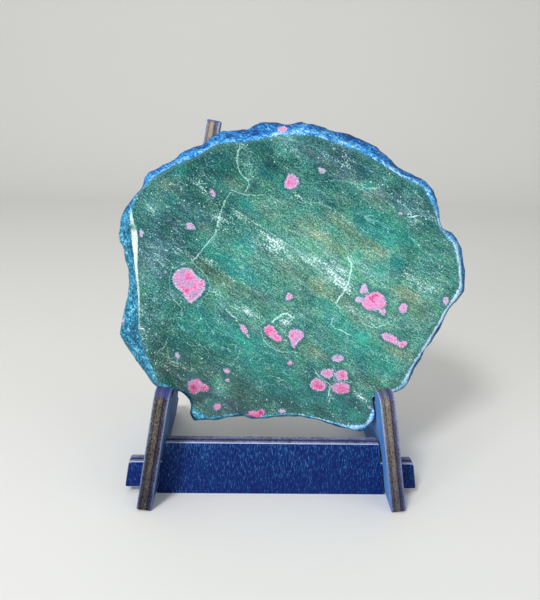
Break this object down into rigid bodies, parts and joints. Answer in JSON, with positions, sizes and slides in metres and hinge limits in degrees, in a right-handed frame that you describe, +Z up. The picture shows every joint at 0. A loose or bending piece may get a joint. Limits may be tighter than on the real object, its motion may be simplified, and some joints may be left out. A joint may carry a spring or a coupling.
{
  "type": "ruby in zoisite slab on a display stand",
  "caption": "Polished slab of ruby in zoisite with a rough rim, leaning on a small slotted plywood easel stand.",
  "frame": {"origin": "middle of the cross bar's underside, on the surface that the stand rests on", "axes": "+Z up; +X to the right of someone facing the polished face; +Y from the viewer towards the back of the stand"},
  "size_m": [0.1209, 0.0732, 0.1278],
  "materials": {
    "slab": "polished face, rough broken rim, sawn back",
    "plywood": "dark stained faces, charred laser-cut edges"
  },
  "bodies": {
    "root": {"slab": "slab", "left_side_plate": "plywood", "right_side_plate": "plywood", "cross_bar": "plywood"}
  },
  "joints": []
}
